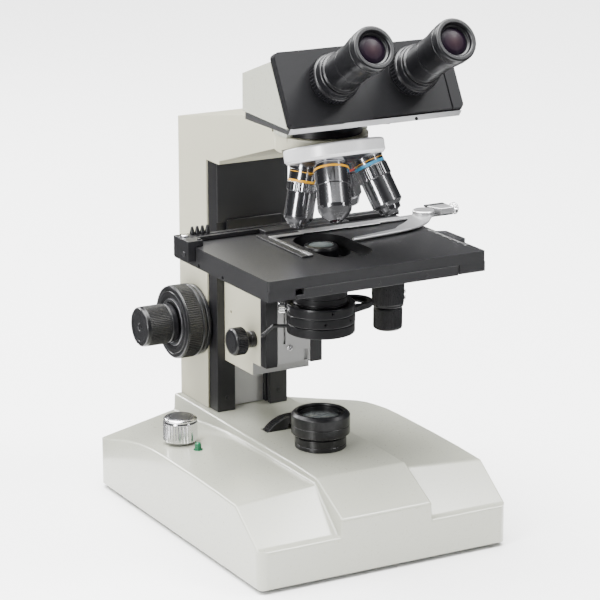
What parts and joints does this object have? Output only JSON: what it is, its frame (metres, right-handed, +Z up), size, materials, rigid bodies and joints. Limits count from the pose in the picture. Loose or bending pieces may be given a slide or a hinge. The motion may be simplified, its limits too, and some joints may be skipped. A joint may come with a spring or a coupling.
{
  "type": "binocular laboratory microscope",
  "caption": "Upright binocular microscope with a cream stand, black mechanical stage, revolving objective nosepiece, moving condenser and coaxial focus knobs.",
  "frame": {"origin": "centre of the bounding box at table level, under the rubber feet", "axes": "+Z up; +X to the right of a person looking into the eyepieces; +Y away from that person, towards the column"},
  "size_m": [0.24, 0.3119, 0.4068],
  "materials": {
    "white_paint": "fine satin cream-white enamel",
    "cream_paint": "fine satin cream enamel",
    "black_paint": "satin black enamel",
    "stage_black": "dark grey-black anodised look with a soft sheen",
    "black_plastic": "matt black moulded plastic",
    "chrome": "bright chrome",
    "steel": "brushed steel",
    "aluminium": "plain machined aluminium",
    "rubber": "black rubber",
    "glass": "clear polished glass",
    "green_lens": "green lens cap",
    "turret_white": "bright silver-white lacquer"
  },
  "bodies": {
    "stand": {"base_casting": "white_paint", "base_plate": "steel", "foot_front_left": "rubber", "foot_front_right": "rubber", "foot_rear_left": "rubber", "foot_rear_right": "rubber", "lamp_holder": "aluminium", "lamp_bulb": "glass", "lamp_mirror": "aluminium", "field_lens_collar": "black_paint", "field_lens_glass": "glass", "power_inlet": "black_plastic", "power_led": "green_lens", "limb_casting": "cream_paint", "guide_rail_left": "black_paint", "guide_rail_right": "black_paint", "guide_back_plate": "aluminium", "guide_cover": "black_paint", "nosepiece_mount": "black_paint"},
    "switch_rocker": {"power_switch": "black_plastic"},
    "brightness_dial": {"brightness_knob": "chrome"},
    "filter_disc": {"filter_wheel": "black_plastic"},
    "field_iris": {"field_iris_ring": "black_paint"},
    "tension_collar": {"tension_ring": "black_plastic"},
    "coarse_focus": {"coarse_knob_left": "black_plastic", "coarse_knob_right": "black_plastic"},
    "fine_focus": {"fine_knob_left": "black_plastic", "fine_knob_right": "black_plastic"},
    "stage_carrier": {"stage_carriage": "cream_paint", "stage_lower_plate": "stage_black", "condenser_guide_left": "black_paint", "condenser_guide_right": "black_paint"},
    "stage_table": {"stage_upper_plate": "stage_black", "specimen_rail": "black_paint", "stage_drive_housing": "black_plastic"},
    "y_drive": {"stage_y_knob": "black_plastic"},
    "x_drive": {"stage_x_knob": "black_plastic"},
    "slide_carrier": {"specimen_carrier": "steel"},
    "slide_finger": {"spring_finger": "steel"},
    "condenser": {"condenser_carrier": "black_paint", "condenser_body": "black_paint"},
    "condenser_drive": {"condenser_knob": "black_plastic"},
    "aperture_iris": {"iris_ring": "black_paint"},
    "filter_tray": {"filter_slider": "black_paint"},
    "condenser_clamp": {"condenser_clamp_screw": "chrome"},
    "nosepiece": {"turret_ring": "turret_white", "turret_plate": "chrome", "objective_front": "chrome", "objective_left": "chrome", "objective_rear": "chrome", "objective_right": "chrome"},
    "head": {"head_housing": "white_paint", "head_chassis": "black_paint"},
    "head_lock": {"head_lock_screw": "chrome"},
    "left_tube": {"tube_slide_left": "black_paint", "eyepiece_left": "black_plastic"},
    "right_tube": {"tube_slide_right": "black_paint", "eyepiece_right": "black_plastic"},
    "left_diopter": {"diopter_ring_left": "black_plastic"},
    "right_diopter": {"diopter_ring_right": "black_plastic"}
  },
  "joints": [
    {"name": "power_rocker", "type": "hinge", "parent": "stand", "child": "switch_rocker", "pos_m": [0.0035, 0.14974, 0.025], "axis": [1, 0, 0], "range_deg": [0, 18]},
    {"name": "brightness_turn", "type": "hinge", "parent": "stand", "child": "brightness_dial", "pos_m": [-0.094, 0.06024, 0.06], "axis": [0, 0, 1], "range_deg": [-135, 135]},
    {"name": "filter_wheel_turn", "type": "hinge", "parent": "stand", "child": "filter_disc", "pos_m": [-0.013, 0.03324, 0.0485], "axis": [0, 1, 0], "continuous": true},
    {"name": "field_iris_turn", "type": "hinge", "parent": "stand", "child": "field_iris", "pos_m": [-0.015, -0.01826, 0.085], "axis": [0, 0, 1], "range_deg": [-40, 40]},
    {"name": "tension_turn", "type": "hinge", "parent": "stand", "child": "tension_collar", "pos_m": [-0.049, 0.12424, 0.1355], "axis": [1, 0, 0], "range_deg": [-60, 60]},
    {"name": "stage_lift", "type": "slide", "parent": "stand", "child": "stage_carrier", "axis": [0, 0, 1], "range_m": [-0.02, 0.009]},
    {"name": "coarse_turn", "type": "hinge", "parent": "stand", "child": "coarse_focus", "pos_m": [-0.015, 0.12424, 0.1355], "axis": [1, 0, 0], "range_deg": [-86.4, 191.5]},
    {"name": "fine_turn", "type": "hinge", "parent": "coarse_focus", "child": "fine_focus", "pos_m": [-0.015, 0.12424, 0.1355], "axis": [1, 0, 0], "continuous": true},
    {"name": "stage_y_travel", "type": "slide", "parent": "stage_carrier", "child": "stage_table", "axis": [0, 1, 0], "range_m": [-0.005, 0.03]},
    {"name": "y_knob_turn", "type": "hinge", "parent": "stage_table", "child": "y_drive", "pos_m": [0.0585, 0.00724, 0.17], "axis": [0, 0, 1], "range_deg": [-90.5, 540.5]},
    {"name": "specimen_x_travel", "type": "slide", "parent": "stage_table", "child": "slide_carrier", "axis": [1, 0, 0], "range_m": [-0.025, 0.025]},
    {"name": "x_knob_turn", "type": "hinge", "parent": "stage_table", "child": "x_drive", "pos_m": [0.0585, 0.00724, 0.15], "axis": [0, 0, 1], "range_deg": [-360.5, 360.5]},
    {"name": "finger_open", "type": "hinge", "parent": "slide_carrier", "child": "slide_finger", "pos_m": [0.089, 0.00624, 0.23], "axis": [0, 0, 1], "range_deg": [0, 18], "stiffness_Nm_per_rad": 0.05},
    {"name": "condenser_lift", "type": "slide", "parent": "stage_carrier", "child": "condenser", "axis": [0, 0, 1], "range_m": [-0.02, 0.001]},
    {"name": "condenser_knob_turn", "type": "hinge", "parent": "stage_carrier", "child": "condenser_drive", "pos_m": [-0.045, 0.04224, 0.139], "axis": [1, 0, 0], "range_deg": [-12, 229.7]},
    {"name": "iris_lever_turn", "type": "hinge", "parent": "condenser", "child": "aperture_iris", "pos_m": [-0.015, -0.01826, 0.161], "axis": [0, 0, 1], "range_deg": [-25, 40]},
    {"name": "filter_tray_slide", "type": "slide", "parent": "condenser", "child": "filter_tray", "axis": [-0.9397, -0.342, 0], "range_m": [0, 0.037]},
    {"name": "condenser_clamp_turn", "type": "hinge", "parent": "condenser", "child": "condenser_clamp", "pos_m": [-0.04116, -0.00358, 0.1755], "axis": [-0.8721, 0.4894, 0], "range_deg": [-180, 180]},
    {"name": "nosepiece_turn", "type": "hinge", "parent": "stand", "child": "nosepiece", "pos_m": [-0.015, -0.01826, 0.361], "axis": [0, -0.2907, -0.9568], "continuous": true},
    {"name": "head_turn", "type": "hinge", "parent": "stand", "child": "head", "pos_m": [-0.015, -0.01826, 0.32], "axis": [0, 0, 1], "continuous": true},
    {"name": "head_lock_turn", "type": "hinge", "parent": "head", "child": "head_lock", "pos_m": [0.02611, -0.03657, 0.3187], "axis": [0.9135, -0.4067, 0], "range_deg": [-120, 120]},
    {"name": "left_tube_slide", "type": "slide", "parent": "head", "child": "left_tube", "axis": [1, 0, 0], "range_m": [-0.005, 0.005]},
    {"name": "right_tube_slide", "type": "slide", "parent": "head", "child": "right_tube", "axis": [1, 0, 0], "range_m": [-0.005, 0.005]},
    {"name": "left_diopter_turn", "type": "hinge", "parent": "left_tube", "child": "left_diopter", "pos_m": [-0.0476, -0.08462, 0.35866], "axis": [0, -0.8746, 0.4848], "range_deg": [-180, 180]},
    {"name": "right_diopter_turn", "type": "hinge", "parent": "right_tube", "child": "right_diopter", "pos_m": [0.0176, -0.08462, 0.35866], "axis": [0, -0.8746, 0.4848], "range_deg": [-180, 180]}
  ],
  "couplings": [
    {"joint": "coarse_turn", "follows": "stage_lift", "rad_per_m": -166.67},
    {"joint": "y_knob_turn", "follows": "stage_y_travel", "rad_per_m": 314.16},
    {"joint": "x_knob_turn", "follows": "specimen_x_travel", "rad_per_m": 251.33},
    {"joint": "condenser_knob_turn", "follows": "condenser_lift", "rad_per_m": -200},
    {"joint": "right_tube_slide", "follows": "left_tube_slide", "ratio": -1}
  ]
}
